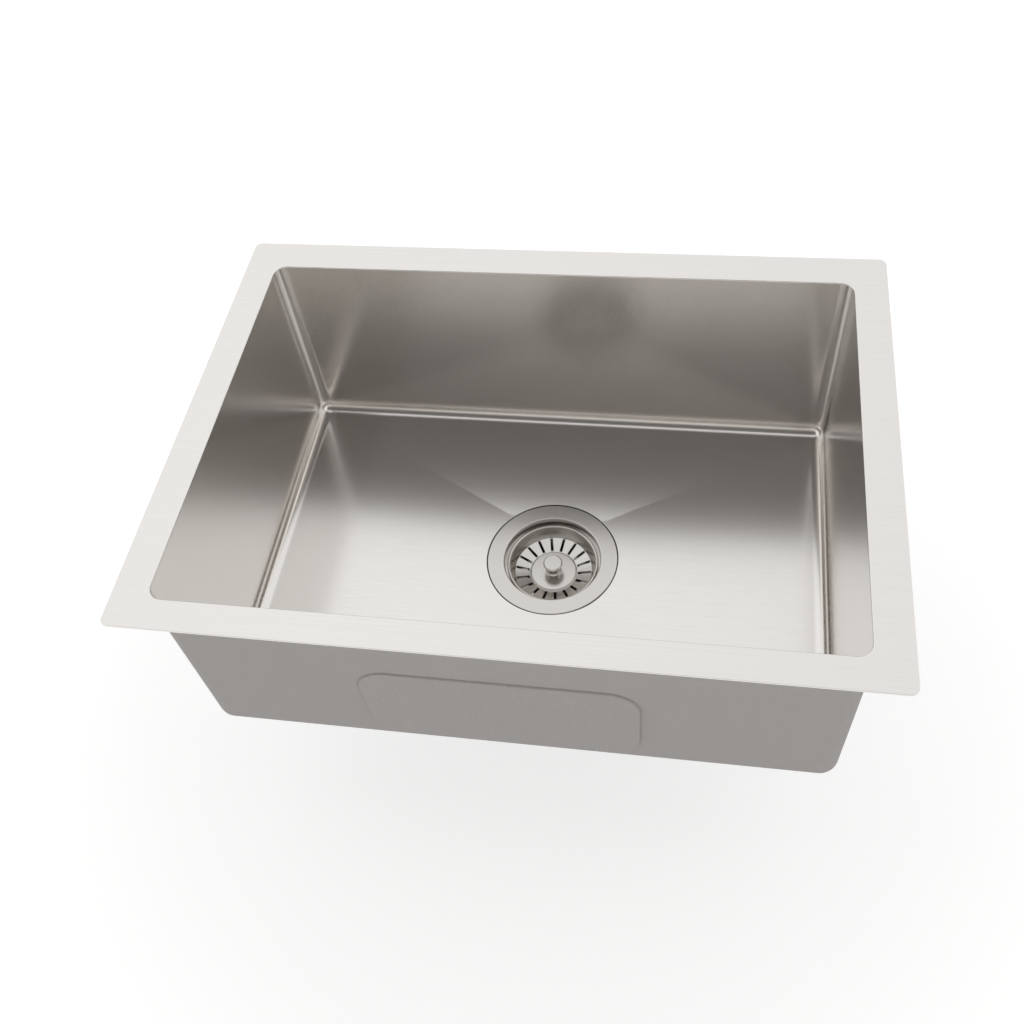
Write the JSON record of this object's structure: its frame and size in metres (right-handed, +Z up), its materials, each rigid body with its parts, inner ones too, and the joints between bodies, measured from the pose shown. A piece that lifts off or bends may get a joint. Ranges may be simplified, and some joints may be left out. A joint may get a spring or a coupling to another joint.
{
  "type": "kitchen sink",
  "caption": "Rectangular undermount steel sink bowl with a flat rim, a grey sound coat outside, a sloping floor and a drain with a lift-out basket strainer and tailpiece.",
  "frame": {"origin": "centre of the rim's outline on its top face", "axes": "+X along the rim's long side, +Y to the back, +Z up out of the bowl"},
  "size_m": [0.533, 0.3886, 0.3136],
  "materials": {
    "sink_steel": "brushed",
    "coat_grey": "matte sprayed coat",
    "pad_rubber": "matte",
    "strainer_steel": "satin",
    "gasket_rubber": "matte",
    "fibre": "matte",
    "brass": "satin",
    "chrome": "polished",
    "washer_plastic": "matte",
    "fastener_steel": "satin"
  },
  "bodies": {
    "sink": {"bowl": "sink_steel", "sound_coat": "coat_grey", "pad_front": "pad_rubber", "pad_back": "pad_rubber", "pad_left": "pad_rubber", "pad_right": "pad_rubber", "pad_floor_left": "pad_rubber", "pad_floor_right": "pad_rubber", "strainer_body": "strainer_steel", "flange_gasket": "gasket_rubber", "under_gasket": "gasket_rubber", "friction_ring": "fibre", "lock_nut": "brass", "tailpiece_washer": "washer_plastic", "tailpiece": "chrome", "coupling_nut": "chrome"},
    "stem": {"lift_knob": "strainer_steel", "centre_post": "fastener_steel", "stopper_plate": "fastener_steel", "stopper_seal": "gasket_rubber", "seal_washer": "fastener_steel", "post_nut": "fastener_steel", "spring_clip": "fastener_steel"},
    "basket": {"basket": "strainer_steel"}
  },
  "joints": [
    {"name": "basket_lift", "type": "slide", "parent": "sink", "child": "stem", "axis": [0, 0, 1], "range_m": [0, 0.235]},
    {"name": "basket_spin", "type": "hinge", "parent": "stem", "child": "basket", "pos_m": [0.0075, 0.0066, -0.2051], "axis": [0, 0, 1], "continuous": true}
  ]
}
